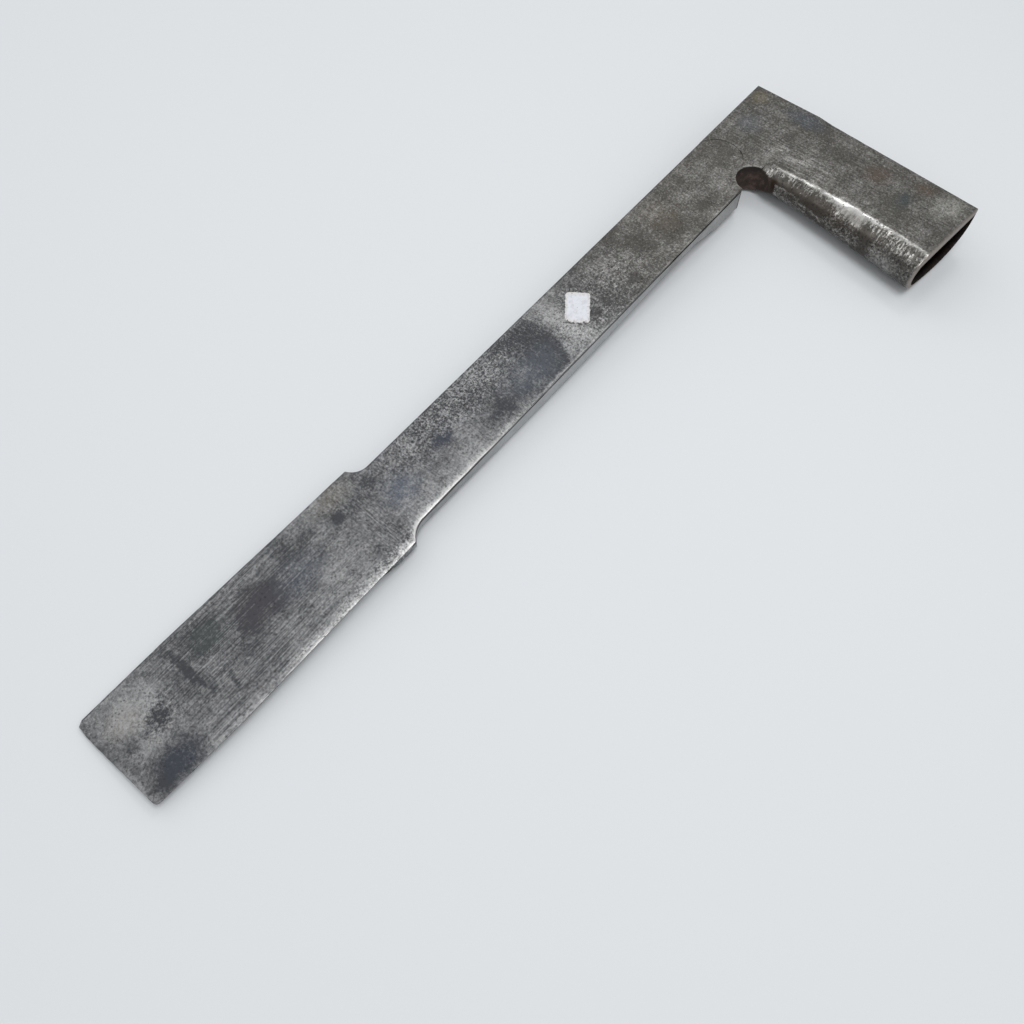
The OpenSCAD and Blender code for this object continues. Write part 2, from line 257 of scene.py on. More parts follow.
# Hard steel layer of the bit
bitPlate = {
    "steps": (230, 84, 4), "crowdAlong": 0.8, "rounds": 4, "edgeRound": 0.22, "rollWidth": 6,
    "rollDrop": 0.45, "pastWeld": (330, 360), "rollLoss": 0.8, "rollLossRise": (420, 462),
    "outerDrop": 0.25, "outerWidth": 3, "outerRise": (332, 350), "flat": (469, 462),
    "shoulderThickness": 5.2, "bevelThickness": 2, "land": 0.3, "sideSlope": 1.122,
    "bevelRise": 9, "bevelAt": (331.5, 345.5), "leastTop": 0.1, "leastThickness": 0.06,
    "worn": 0.04, "wornSize": 9, "wornRise": (332, 345), "innerRows": (0.85, 1),
    "outerRows": (0.15, 0), "nick": 0.06, "nickSize": 7, "nickRows": (0.9, 1),
    "shine": 0.75, "shineWidth": 5, "shineFade": (440, 380),
}


def makeBitPlate():
    # Rows go from the weld to the cutting edge. The top drops as the shank's does, and the underside
    # is the highest of the layer's floor, the bevel to the cutting edge and the slopes up to the sides
    s = bitPlate
    o = outline
    place, quads = boxSkin(*s["steps"])
    along = crowd(place[:, 0], s["crowdAlong"])
    share = crowd(place[:, 1], shankPlate["crowdAcross"])
    level = place[:, 2]
    x = o["weld"] + along * (o["tip"] - o["weld"])
    for again in range(s["rounds"]):  # the rows' ends follow the cutting edge, and the sides follow x
        low = outerSide(x)
        high = innerSide(x)
        y = low + share * (high - low)
        x = o["weld"] + along * (cuttingEdge(y) - o["weld"])
    fromOuter = np.clip(y - low, 0, None)
    fromInner = np.clip(high - y, 0, None)
    fromSide = np.minimum(fromOuter, fromInner)
    pastWeld = softStep(*s["pastWeld"], x)
    rollWidth = shankPlate["rollWidth"] + (s["rollWidth"] - shankPlate["rollWidth"]) * pastWeld
    rollDrop = shankPlate["rollDrop"] + (s["rollDrop"] - shankPlate["rollDrop"]) * pastWeld
    rollDrop = rollDrop * (1 - s["rollLoss"] * softStep(*s["rollLossRise"], x))
    top = -roundedDrop(fromSide, s["edgeRound"])
    top -= rollDrop * fade(fromInner, rollWidth) ** 2
    top -= s["outerDrop"] * fade(fromOuter, s["outerWidth"]) ** 2 * softStep(*s["outerRise"], x)
    top -= forgedWaves(x, y, fromSide) * softStep(*s["flat"], x)
    thickness = np.interp(x, [o["innerShoulder"], o["bevelStart"], o["tip"]],
                          [s["shoulderThickness"], s["bevelThickness"], o["edgeThickness"]])
    sideFloor = s["land"] + s["sideSlope"] * fromSide + s["bevelRise"] * (1 - softStep(*s["bevelAt"], x))
    bottom = -np.minimum(np.minimum(o["layer"], thickness), sideFloor)
    top = np.maximum(top, -o["layer"] + s["leastTop"])
    bottom = np.minimum(bottom, top - s["leastThickness"])
    bottom = np.maximum(bottom, -o["layer"])
    z = top + level * (bottom - top)
    worn = s["worn"] * (1 + ripple(x, 0 * x, s["wornSize"], 2)) * softStep(*s["wornRise"], x)
    y = y - worn * softStep(*s["innerRows"], share) + worn * softStep(*s["outerRows"], share)
    nicks = s["nick"] * (1 + ripple(0 * y, y, s["nickSize"], 5)) * softStep(*s["nickRows"], along)
    # Painted highlight, partly real wear, along the inner edge, fading towards the tip; painted shade along
    # the outer edge
    shine = s["shine"] * fade(fromInner, s["shineWidth"]) * softStep(*s["shineFade"], x)
    marks = {"rim": fade(fromOuter, shankPlate["rimWidth"]) * (level < shankPlate["rimLevels"]),
             "wearAndHighlight": shine * (level < shankPlate["shineLevels"])}
    return addPiece("bitPlate", np.stack([x - nicks, y, z], -1), quads, shankPlate["sharp"], marks)


# Folded socket plate. A ring goes round it in steps: flat top, facet, round side, belly and back edge
socketPlate = {
    "length": 136.8, "start": 39, "flat": 44.1, "mouthDepth": 24.8, "rootDepth": 15.8,
    "backOut": 1.6, "backSlope": 0.059, "bow": 0.0012, "bowAt": 75.4, "roundMid": 46.4,
    "roundMouthOut": 2, "roundRootOut": 1, "share": 0.4, "shareGain": 0.045, "roundDrop": 0.5,
    "facet": 52, "belly": -75, "lowAt": 0.45, "backSwell": 2, "wallBack": 2.4, "wallRidge": 4.2,
    "wall": 2.8, "land": 1.0, "insideX": -0.3, "insideZ": 0.1, "insideLand": 0.8,
    "skew": 0.105, "lean": 0.01, "rimOut": 0.95, "stations": 120, "insideStations": 30,
    "ring": (52, 14, 34, 60, 3), "crowdTop": 0.6, "rimSteps": 8, "ridgeWave": 0.22,
    "waveSize": 19, "ridgeTurn": 3, "turnReach": 4, "ease": (0, 0.12), "softRounds": 8, "sharp": 50,
}
# Hammer dents, and the underside's run-on below the notch. Steps are counted round the ring
hammering = {
    "depth": 0.14, "size": 13, "flatShare": 0.35, "roundRise": (44, 52), "roundFade": (125, 100),
    "fine": 0.12, "fineSize": 6.5, "below": 8, "runOn": (0, 3, 2.4), "runOnY": (46, 39),
    "runOnRise": (78, 90), "runOnFade": (125, 108),
}


def column(values):
    return values[:, None]


def socketRing(y, inside):
    # One ring of x and z at each y. The round side is an arc of a circle, and the belly is a cubic
    # curve that leaves it along its tangent and dips to the depth
    s = socketPlate
    along = np.clip(y - s["start"], 0, None) / (s["length"] - s["start"])
    depth = s["rootDepth"] + (s["mouthDepth"] - s["rootDepth"]) * along
    radius = (s["share"] + s["shareGain"] * along) * depth
    centreX = s["roundMid"] + s["roundMouthOut"] * along ** 2 + s["roundRootOut"] * (1 - along) ** 8
    centreZ = -radius - s["roundDrop"]
    backX = -s["backOut"] + s["backSlope"] * np.clip(y - s["start"], 0, None)
    backZ = 0 * y
    wave = s["ridgeWave"] * ripple(y, 0 * y, s["waveSize"], 2)
    ridgeX = s["flat"] + s["bow"] * (y - s["bowAt"]) ** 2 + wave
    ridgeX = ridgeX + s["ridgeTurn"] * fade(y - s["start"], s["turnReach"]) ** 2
    ridgeZ = 0 * y
    land = s["land"]
    if inside:
        backX = backX + s["wallBack"]
        backZ = backZ - s["wallBack"]
        ridgeX = ridgeX - s["wallRidge"]
        ridgeZ = ridgeZ - s["wallRidge"]
        centreX = centreX + s["insideX"]
        centreZ = centreZ + s["insideZ"]
        radius = radius - s["wall"]
        depth = depth - s["wall"]
        land = s["insideLand"]
    lowX = backX
    lowZ = backZ - land
    top, facet, arc, belly, edge = (np.arange(n) / n for n in s["ring"])
    top = crowd(top, s["crowdTop"])
    facetAngle = math.radians(s["facet"])
    bellyAngle = math.radians(s["belly"])
    facetX = centreX + radius * math.cos(facetAngle)
    facetZ = centreZ + radius * math.sin(facetAngle)
    startX = centreX + radius * math.cos(bellyAngle)
    startZ = centreZ + radius * math.sin(bellyAngle)
    t = s["lowAt"]
    pull = (depth + startZ * (1 - t) ** 3 + lowZ * t ** 3) / (3 * t * (1 - t))
    lead = (startZ + pull) * math.tan(-bellyAngle)
    angle = facetAngle + (bellyAngle - facetAngle) * arc
    b = [(1 - belly) ** 3, 3 * belly * (1 - belly) ** 2, 3 * belly ** 2 * (1 - belly), belly ** 3]
    bellyX = column(startX) * b[0] + column(startX - lead) * b[1]
    bellyX = bellyX + column(backX - s["backSwell"]) * b[2] + column(lowX) * b[3]
    bellyZ = column(startZ) * b[0] - column(pull) * b[1] - column(pull) * b[2] + column(lowZ) * b[3]
    x = np.concatenate([
        column(backX) + column(ridgeX - backX) * top,
        column(ridgeX) + column(facetX - ridgeX) * facet,
        column(centreX) + column(radius) * np.cos(angle),
        bellyX,
        column(lowX) + 0 * edge], 1)
    z = np.concatenate([
        column(backZ) + column(ridgeZ - backZ) * top,
        column(ridgeZ) + column(facetZ - ridgeZ) * facet,
        column(centreZ) + column(radius) * np.sin(angle),
        bellyZ,
        column(lowZ) + column(land + 0 * y) * edge], 1)
    return x, z


def soften(values, weight, rounds):  # rounds the ring's corners: each point moves to its neighbours' mean
    for again in range(rounds):
        mean = (np.roll(values, 1, 1) + 2 * values + np.roll(values, -1, 1)) / 4
        values = values + column(weight) * (mean - values)
    return values


def placeAlong(x, z, share, out):  # spreads the rings from the inner end to the skewed mouth
    s = socketPlate
    backAtMouth = -s["backOut"] + s["backSlope"] * (s["length"] - s["start"])
    mouth = s["length"] - s["skew"] * (x - backAtMouth) - s["lean"] * z
    return s["start"] + column(share) * (mouth + out - s["start"])


def socketSkin():
    # The outer rings, their corners softened. The skin moves in along its own normal by ripples, as
    # hammer dents, its underside runs on to the lap, and the notch takes a round bite out of it
    s = socketPlate
    h = hammering
    share = np.linspace(0, 1, s["stations"] + 1)
    x, z = socketRing(s["start"] + share * (s["length"] - s["start"]), False)
    ease = softStep(*s["ease"], share)
    x = soften(x, ease, s["softRounds"])
    z = soften(z, ease, s["softRounds"])
    y = placeAlong(x, z, share, 0)
    skin = np.stack([x, y, z], -1)
    normal = np.cross(np.gradient(skin, axis=1), np.gradient(skin, axis=0))
    normal /= np.linalg.norm(normal, axis=-1, keepdims=True) + 1e-9
    outward = normal * np.sign((normal[..., 2:3] * (z[..., None] + h["below"])).sum())
    step = np.arange(x.shape[1])[None, :] + 0 * x
    onRound = softStep(*h["roundRise"], step) * softStep(*h["roundFade"], step)
    dent = h["depth"] * (1 + ripple(y, step, h["size"], 4)) * column(ease)
    fine = h["fine"] * onRound * (1 + ripple(y, 0 * y, h["fineSize"], 7)) * column(ease)
    dent = dent * (h["flatShare"] + onRound) + fine
    skin = skin - outward * dent[..., None]
    runOn = softStep(*h["runOnY"], y) * softStep(*h["runOnRise"], step) * softStep(*h["runOnFade"], step)
    skin = skin - runOn[..., None] * h["runOn"]
    notchX, notchY, radius = notch
    fromNotch = skin[..., 1] - notchY
    bite = notchX - np.sqrt(np.clip(radius ** 2 - fromNotch ** 2, 0, None))
    skin[..., 0] = np.where(np.abs(fromNotch) < radius, np.minimum(skin[..., 0], bite), skin[..., 0])
    return skin


def socketRings():
    # The outer rings, a rounded lip over to the inner ones, and the inner rings back to the start
    s = socketPlate
    outer = socketSkin()
    share = np.linspace(1, 0, s["insideStations"] + 1)
    x, z = socketRing(s["start"] + share * (s["length"] - s["start"]), True)
    inner = np.stack([x, placeAlong(x, z, share, s["rimOut"]), z], -1)
    step = np.linspace(0, 1, s["rimSteps"] + 1)[1:-1][:, None, None]
    lip = outer[-1] + (inner[0] - outer[-1]) * ((1 - np.cos(math.pi * step)) / 2)
    lip[..., 1] = outer[-1, :, 1] + (inner[0, :, 1] - outer[-1, :, 1]) * np.sqrt(step[..., 0])
    return np.concatenate([outer, lip, inner])


# Wear on the socket's skin, and painted light on it. Pairs ending in Rise or Fade are soft steps, along y or
# round the ring
socketWearAndLight = {
    "polishRise": (68, 78), "polishFade": (99, 94), "polishWidth": 8, "polishFrom": 72,
    "polishSlope": 0.42, "polishSoft": 5, "ridgeRise": (41, 46), "ridgeShine": 1.4, "ridgeBefore": 2.6,
    "ridgeAfter": 2.9, "ridgeWider": 1.7, "widerRise": (62, 76), "widerFade": (108, 96),
    "lineY": (42, 57, 62, 84, 110), "lineSteps": (72, 72.5, 77, 80, 80), "lineWander": 0.7, "wanderSize": 9,
    "lineShine": 1.2, "lineWidth": 1.8, "lineRise": (40, 50), "lineFade": (112, 84), "lineBase": 0.6,
    "lineBreaks": 0.4, "breakSize": 5, "lineBright": 0.4, "foldRise": (59, 64), "foldBefore": (1, 4),
    "foldStart": (41, 45), "foldEnd": (82, 70), "underAfter": (2, 12), "underFade": (130, 112),
    "greyStart": (104, 110), "greyEnd": (126, 118), "greyRise": (72, 78), "greyFade": (98, 88),
    "chatterRise": (51, 53), "chatterFade": (71, 63), "pockedRise": (46, 55), "pockedFade": (130, 114),
    "rustY": (45.5, 43.2), "rustRise": (64, 70), "rustFade": (106, 98), "rimSteps": 2, "hollowRise": (6, 9),
}


def socketMarks(rings):
    # Each mark is a product of soft steps along the socket and round the ring, 0 off the outer skin
    w = socketWearAndLight
    last = socketPlate["stations"]
    ridge = socketPlate["ring"][0]
    count, around = rings.shape[:2]
    number = np.arange(count)[:, None] + np.zeros((1, around))
    step = np.arange(around)[None, :] + np.zeros((count, 1))
    y = rings[..., 1]
    outside = number <= last
    edge = ridge + w["polishWidth"] + (y - w["polishFrom"]) * w["polishSlope"]
    polish = outside * softStep(*w["polishRise"], y) * softStep(*w["polishFade"], y)
    polish = polish * softStep(edge, edge - w["polishSoft"], step) * (step >= ridge)
    # Painted highlight along the ridge, narrow before it and wider past it
    wide = w["ridgeAfter"] + w["ridgeWider"] * softStep(*w["widerRise"], y) * softStep(*w["widerFade"], y)
    beside = np.where(step > ridge, (step - ridge) / wide, (ridge - step) / w["ridgeBefore"])
    ridgeHighlight = outside * np.clip(w["ridgeShine"] - beside, 0, 1) * softStep(*w["ridgeRise"], y)
    # On the round side painted shade darkens the facet below the ridge, then a second, broken line of painted
    # highlight follows
    line = np.interp(y, w["lineY"], w["lineSteps"]) + w["lineWander"] * ripple(y, 0 * y, w["wanderSize"], 3)
    second = np.clip(w["lineShine"] - np.abs(step - line) / w["lineWidth"], 0, 1)
    second = outside * second * softStep(*w["lineRise"], y) * softStep(*w["lineFade"], y)
    second = second * (w["lineBase"] + w["lineBreaks"] * ripple(y, step, w["breakSize"], 6))
    near, far = w["foldBefore"]
    foldShade = outside * softStep(*w["foldRise"], step) * softStep(line - near, line - far, step)
    foldShade = foldShade * softStep(*w["foldStart"], y) * softStep(*w["foldEnd"], y)
    # Painted reflection of the floor: the round side past the second line, and a patch low down near the
    # mouth, are lightened
    near, far = w["underAfter"]
    under = outside * softStep(line + near, line + far, step) * softStep(*w["underFade"], step)
    lowReflection = outside * softStep(*w["greyStart"], y) * softStep(*w["greyEnd"], y)
    lowReflection = lowReflection * softStep(*w["greyRise"], step) * softStep(*w["greyFade"], step)
    wearAndHighlight = np.maximum(ridgeHighlight, w["lineBright"] * second)
    smooth = 0.75 * polish + 0.4 * lowReflection * (1 - polish)
    inside = softStep(last + w["hollowRise"][0], last + w["hollowRise"][1], number)
    chatter = outside * softStep(*w["chatterRise"], step) * softStep(*w["chatterFade"], step)
    pocked = outside * softStep(*w["pockedRise"], step) * softStep(*w["pockedFade"], step)
    rustHole = softStep(*w["rustY"], y) * softStep(*w["rustRise"], step) * softStep(*w["rustFade"], step)
    return {
        "smooth": smooth,
        # shade: real polish, the painted highlight line and painted floor reflection, less the painted shade
        # on the facet
        "shade": 1.2 * second - 2.3 * foldShade + 1.5 * polish + 0.7 * under + 1.2 * lowReflection,
        "hollow": inside,
        "wearAndHighlight": wearAndHighlight,
        "skin": outside * (1 - rustHole),
        "lip": softStep(last - 1, last + 1, number) * (1 - inside),
        "chatter": chatter * (1 - wearAndHighlight) * (1 - smooth),
        "pocked": pocked * (1 - smooth) * (1 - 0.8 * wearAndHighlight),
        # Painted shade: a thin band at the back edge, where the ring begins and ends, is darkened
        "rim": outside * fade(np.minimum(step, around - step), w["rimSteps"]),
    }


def makeSocket():
    rings = socketRings()
    count, around = rings.shape[:2]
    number = np.arange(count * around).reshape(count, around)
    number = np.concatenate([number, number[:1]])  # the inner end closes back on the outer one
    ahead = np.roll(number, -1, 1)
    quads = np.stack([number[:-1], ahead[:-1], ahead[1:], number[1:]], -1).reshape(-1, 4)
    return addPiece("socketPlate", rings.reshape(-1, 3), quads, socketPlate["sharp"], socketMarks(rings))


# Price label
label = {
    "middle": (185.9, 17.6), "turn": 36.5, "length": 18.4, "width": 12.1, "corner": 1.6,
    "thickness": 0.15, "bevel": 0.03, "lift": 0.004, "around": 360, "rings": 26, "innermost": 0.02,
    "torn": 1.3, "tornEnd": 1.2, "biteSize": 3.6, "smallBite": 0.5, "smallSize": 1.3,
    "tornCorner": 0.7, "tornCornerY": (-2.5, -5.5), "ragged": 0.2, "raggedSize": 2.1,
    "raggedMean": 0.4, "crease": 0.05, "creaseShare": 0.4, "creaseSize": 7, "creaseFade": (1, 0.8),
    "margin": (0.72, 1), "sharp": 60,
}


def makeLabel():
    # Rounded rectangle in polar steps: rings out from the middle on top, then back in underneath. The
    # outline moves in by ripples, most of all at its torn end
    s = label
    angle = np.linspace(0, 2 * math.pi, s["around"], endpoint=False)
    halfLong = s["length"] / 2
    halfWide = s["width"] / 2
    straightX = halfLong - s["corner"]
    straightY = halfWide - s["corner"]
    dx = np.cos(angle)
    dy = np.sin(angle)
    reach = np.minimum(halfLong / np.maximum(np.abs(dx), 1e-6), halfWide / np.maximum(np.abs(dy), 1e-6))
    ex = dx * reach
    ey = dy * reach
    overX = np.abs(ex) - straightX
    overY = np.abs(ey) - straightY
    inCorner = (overX > 0) & (overY > 0)
    shrink = np.where(inCorner, s["corner"] / np.maximum(np.hypot(overX, overY), s["corner"]), 1)
    ex = np.where(inCorner, np.sign(ex) * (straightX + overX * shrink), ex)
    ey = np.where(inCorner, np.sign(ey) * (straightY + overY * shrink), ey)
    small = s["smallBite"] * ripple(ey, 0 * ey, s["smallSize"], 2)
    bites = np.clip(ripple(ey, 0 * ey, s["biteSize"], 6) + small, 0, 1)
    bites = bites + s["tornCorner"] * softStep(*s["tornCornerY"], ey)
    ex = ex - s["torn"] * bites * (ex > halfLong - s["tornEnd"])
    ragged = ripple(ex, ey, s["raggedSize"], 9) - s["raggedMean"]
    ragged = 1 + s["ragged"] * ragged / np.hypot(ex, ey)
    share = np.linspace(s["innermost"], 1, s["rings"])
    share = np.concatenate([share, np.linspace(1, s["innermost"], s["rings"])])
    upper = column(np.concatenate([np.ones(s["rings"]), np.zeros(s["rings"])]))
    px = column(share) * (ex * ragged)
    py = column(share) * (ey * ragged)
    crease = s["crease"] * (ripple(px, py, s["creaseSize"], 8) + 1)
    crease = crease * column(softStep(*s["creaseFade"], share))
    z = upper * (s["thickness"] - s["bevel"] - crease * s["creaseShare"]) + s["lift"] + 0 * px
    turn = math.radians(s["turn"])
    x = s["middle"][0] + px * math.cos(turn) - py * math.sin(turn)
    y = s["middle"][1] + px * math.sin(turn) + py * math.cos(turn)
    number = np.arange(len(share) * s["around"]).reshape(len(share), s["around"])
    ahead = np.roll(number, -1, 1)
    quads = np.stack([number[:-1], number[1:], ahead[1:], ahead[:-1]], -1).reshape(-1, 4)
    margin = upper * column(softStep(*s["margin"], share)) + 0 * px
    points = np.stack([x, y, z], -1).reshape(-1, 3)
    return addPiece("labelPaper", points, quads, s["sharp"], {"margin": margin})


shankPiece = makeShankPlate()
bitPiece = makeBitPlate()
socketPiece = makeSocket()
labelPiece = makeLabel()
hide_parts("shank_face")
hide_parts("bit_steel")
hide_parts("socket_shell")
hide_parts("price_label")
print("pieces made")


class Field:  # one output of a node; arithmetic on fields adds Math nodes
    def __init__(self, finish, output):
        self.finish = finish
        self.output = output

    def math(self, operation, first, second):
        return self.finish.node("ShaderNodeMath", {"operation": operation}, {0: first, 1: second})

    def __add__(self, other):
        return self.math("ADD", self, other)

    def __radd__(self, other):
        return self.math("ADD", other, self)

    def __sub__(self, other):
        return self.math("SUBTRACT", self, other)

    def __rsub__(self, other):
        return self.math("SUBTRACT", other, self)

    def __mul__(self, other):
        return self.math("MULTIPLY", self, other)

    def __rmul__(self, other):
        return self.math("MULTIPLY", other, self)

    def __pow__(self, other):
        return self.math("POWER", self, other)

    def __abs__(self):
        return self.math("ABSOLUTE", self, 0)

    def orMore(self, other):
        return self.math("MAXIMUM", self, other)


class Finish:  # one material and the nodes that make it
    def __init__(self, name):
        self.material = bpy.data.materials.new(name)
        self.material.use_nodes = True
        self.tree = self.material.node_tree
        self.tree.nodes.clear()
        self.shader = self.make("ShaderNodeBsdfPrincipled")
        self.make("ShaderNodeOutputMaterial", {}, {"Surface": Field(self, self.shader.outputs[0])})

    def make(self, kind, settings=None, sockets=None):  # any node: its type, settings, then its sockets
        made = self.tree.nodes.new(kind)
        for key, value in (settings or {}).items():
            setattr(made, key, value)
        for key, value in (sockets or {}).items():
            self.give(made.inputs[key], value)
        return made

    def node(self, kind, settings=None, sockets=None, output=0):  # the same, as a field of one output
        return Field(self, self.make(kind, settings, sockets).outputs[output])

    def give(self, socket, value):
        if isinstance(value, Field):
            self.tree.links.new(value.output, socket)
        else:
            socket.default_value = value

    def set(self, **values):
        for key, value in values.items():
            self.give(self.shader.inputs[key.replace("_", " ")], value)

    def noise(self, place, size, detail=3, rough=0.55, warp=0.0):  # size in millimetres of one blotch
        return self.node("ShaderNodeTexNoise", {}, {"Vector": place, "Scale": 1 / size, "Detail": detail,
                                                    "Roughness": rough, "Distortion": warp})

    def swing(self, place, strength, *pattern):  # noise that swings about 0
        return (self.noise(place, *pattern) - 0.5) * strength

    def spots(self, place, low, high, *pattern):  # the part of a noise from low up, as separate spots
        return self.step(low, high, self.noise(place, *pattern))

    def step(self, low, high, value):  # 0 at low and 1 at high, with an S curve between
        return self.node("ShaderNodeMapRange", {"interpolation_type": "SMOOTHSTEP"},
                         {"Value": value, "From Min": low, "From Max": high})

    def stretch(self, place, sizes, degrees=0):  # turns a pattern in the face's plane and scales it
        return self.node("ShaderNodeMapping", {"vector_type": "POINT"},
                         {"Vector": place, "Rotation": (0, 0, math.radians(degrees)),
                          "Scale": tuple(1 / size for size in sizes)})

    def patch(self, place, x, y, halfLong, halfWide, degrees=0, core=0.25):
        # Soft oval patch in the face's plane: 1 in its core, 0 past its edge, the same at any depth
        inside = self.node("ShaderNodeMapping", {"vector_type": "TEXTURE"},
                           {"Vector": place, "Location": (x, y, 0), "Rotation": (0, 0, math.radians(degrees)),
                            "Scale": (halfLong, halfWide, 900)})
        reach = self.node("ShaderNodeVectorMath", {"operation": "LENGTH"}, {0: inside}, "Value")
        return self.step(1, core, reach)

    def mix(self, amount, first, second):
        return self.node("ShaderNodeMix", {"data_type": "RGBA"}, {0: amount, 6: first, 7: second}, 2)

    def toolPlace(self):  # object coordinates turned into the tool's own millimetres
        turn = Matrix(toolAxes.tolist()).to_euler("XYZ")
        here = self.node("ShaderNodeTexCoord", {}, {}, "Object")
        return self.node("ShaderNodeMapping", {"vector_type": "POINT"},
                         {"Vector": here, "Location": tuple(-(toolAxes @ toolShift)), "Rotation": tuple(turn),
                          "Scale": (perMetre, perMetre, perMetre)})

    def warped(self, place, size, amount):  # pushes a pattern about, so that its edges run unevenly
        sockets = {"Vector": place, "Scale": 1 / size, "Detail": 3.0}
        wander = self.node("ShaderNodeTexNoise", {}, sockets, "Color")
        middle = (0.5, 0.5, 0.5)
        centred = self.node("ShaderNodeVectorMath", {"operation": "SUBTRACT"}, {0: wander, 1: middle})
        scaled = self.node("ShaderNodeVectorMath", {"operation": "SCALE"}, {0: centred, "Scale": amount})
        return self.node("ShaderNodeVectorMath", {"operation": "ADD"}, {0: place, 1: scaled})

    def attribute(self, name):  # a number stored on the piece's own mesh, 0 where it has none
        settings = {"attribute_type": "GEOMETRY", "attribute_name": name}
        return self.node("ShaderNodeAttribute", settings, {}, "Fac")

    def parts(self, place):  # x, y and z of a place
        made = self.make("ShaderNodeSeparateXYZ", {}, {0: place})
        return [Field(self, output) for output in made.outputs]


# Steel and iron finishes. A stain is x, y, half length, half width, turn, amount and, where its edge is
# crisp, its core's share: a plus amount bares the metal, a minus one darkens it
bladeStains = {
    "rootHalf": (108, 18, 96, 60, 0, -0.85, 0.75), "scorchTail": (246, 27, 25, 9, 0, -1.2),
    "scorchSpread": (238, 18, 30, 14, 0, -0.3), "tornGlue": (195.8, 20.0, 3.6, 0.9, 126.5, -4.0, 0.4),
    "glueSpot": (193.0, 24.6, 1.3, 0.8, 120, -3.5, 0.4), "outerPale": (240, 8, 12, 8, 0, 0.9),
    "speckShade": (262, 12, 12, 8, 0, -0.9), "speckPale": (299, 10, 10, 8, 0, 0.4),
    "nearShoulder": (325, 14, 8, 8, 0, -0.6), "belowViolet": (404, 19, 15, 11, 0, -0.8),
    "blueBlob": (283, 16.5, 10, 5, 0, -1.4), "shoulderSpot": (320, 5.5, 6, 5, 0, -1.3),
    "shoulderBlue": (313, 20, 12, 11, 0, -0.5), "roundSpot": (340.3, 8.3, 4.2, 3.8, 0, -2.0),
    "blueBand": (371, 13, 21, 15, 0, -1.0), "violetPatch": (390, 11, 16, 14, 0, -2.4),
    "outerBand": (366, 4, 24, 7, 0, -0.7), "greenPatch": (412, 4, 15, 12, 0, -2.1),
    "streak": (427, 10, 3.4, 20, 3, -1.9), "faintStreak": (417.5, 26, 2.2, 8, -12, -1.0),
    "tipSpot": (446.5, 14, 6, 5.5, 0, -2.6), "tipSmudge": (461, 16, 4.5, 4, 0, -1.0),
    "cornerShade": (452, 32, 15, 11, -8, -1.8), "cornerEnd": (462, 36, 7, 6, 0, -1.3),
    "besideLabel": (184, 26, 6, 5, 0, -1.5), "beforeLabel": (173, 26, 3.4, 4.5, 0, -1.6),
    "smallSpot": (153, 28, 4.5, 5, 0, -2.4), "notchSpot": (92, 27, 6, 5, 0, -2.4),
    "shadeSpot": (88, 9, 8, 5, 0, -0.6), "brownZone": (115, 22, 14, 13, 0, -1.5),
    "greyZone": (134, 17, 10, 12, 0, -1.2), "edgeSpot": (136, 2, 4.5, 3.4, 0, -1.0),
    "rootShade": (56, 12, 13, 15, 0, -0.7), "tipPale": (451, 5, 19, 12, 0, 1.6),
    "tipMiddle": (455, 21, 9, 6, 0, 1.0), "paleBand": (197, 17, 9.5, 24, 0, 1.6),
    "innerPale": (300, 29, 30, 7, 0, 0.5), "rootPale": (70, 22, 9, 8, 0, 0.4),
    "bitPale": (352, 28, 19, 13, 0, 0.9), "midPale": (163, 15, 14, 14, 0, 0.7),
    "groundEdge": (468.6, 30, 1.8, 13, 0, 1.4),
}
socketStains = {
    "backShade": (5, 38, 10, 20, 0, -0.9), "middleShade": (15, 60, 9, 18, 0, -0.5),
    "plateBlue": (27, 12, 10, 9, 0, -0.4), "brownMiddle": (16, 85, 9, 10, 30, -0.9),
    "mouthShade": (32, 101, 14, 12, 0, -0.9), "blueSpot": (25, 104.5, 9, 4.5, -5, -1.4),
    "brownBack": (10.5, 110, 6.5, 7, 0, -1.0), "roundSpot": (52.5, 101, 6, 8, 0, -2.8),
    "cornerHole": (53.2, 44.2, 2.6, 2.6, 0, -4.5, 0.4), "besideRidge": (42.9, 46, 1.2, 8, 0, -1.5, 0.3),
    "belowPlate": (30, 70, 10, 9, 0, -0.7), "ridgeSpot": (48.5, 97, 3, 3.4, 0, -1.6),
    "scratchedPlate": (34, 48, 10, 30, -6, 0.7), "paleCorner": (27, 29, 5, 4, 0, 0.5),
    "mouthPale": (13, 125, 13, 11, 0, 0.8), "platePale": (20, 28, 9, 8, 0, 0.4),
    "mouthRidge": (38, 124, 8, 9, 0, 0.3), "mouthRound": (50, 128, 4, 10, 4, -0.6),
}
# A tint is x, y, half length, half width, turn, strength, colour of the oxide there
bladeTints = {
    "violet": (390, 11, 16, 14, 0, 0.9, (0.074, 0.071, 0.08)),
    "scorch": (228, 24, 26, 14, 0, 0.9, (0.094, 0.105, 0.122)),
    "blueBlob": (283, 16.5, 10, 6, 0, 0.9, (0.07, 0.078, 0.097)),
    "shoulderWarm": (336, -1, 16, 8, 0, 0.8, (0.115, 0.105, 0.085)),
    "shoulderBlue": (313, 20, 14, 12, 0, 0.9, (0.11, 0.126, 0.156)),
    "blueBand": (369, 15, 19, 13, 0, 0.7, (0.09, 0.1, 0.12)),
    "green": (412, 5, 13, 10, 0, 0.8, (0.074, 0.085, 0.084)),
    "cornerBlue": (452, 33, 14, 10, 0, 0.9, (0.06, 0.067, 0.083)),
    "brown": (112, 15, 15, 17, 0, 0.8, (0.105, 0.093, 0.077)),
    "root": (54, 12, 18, 18, 0, 0.7, (0.1, 0.095, 0.084)),
    "tipWarm": (456, 6, 12, 9, 0, 0.8, (0.22, 0.2, 0.18)),
    "paleBand": (197, 17, 12, 24, 0, 0.7, (0.14, 0.14, 0.14)),
}
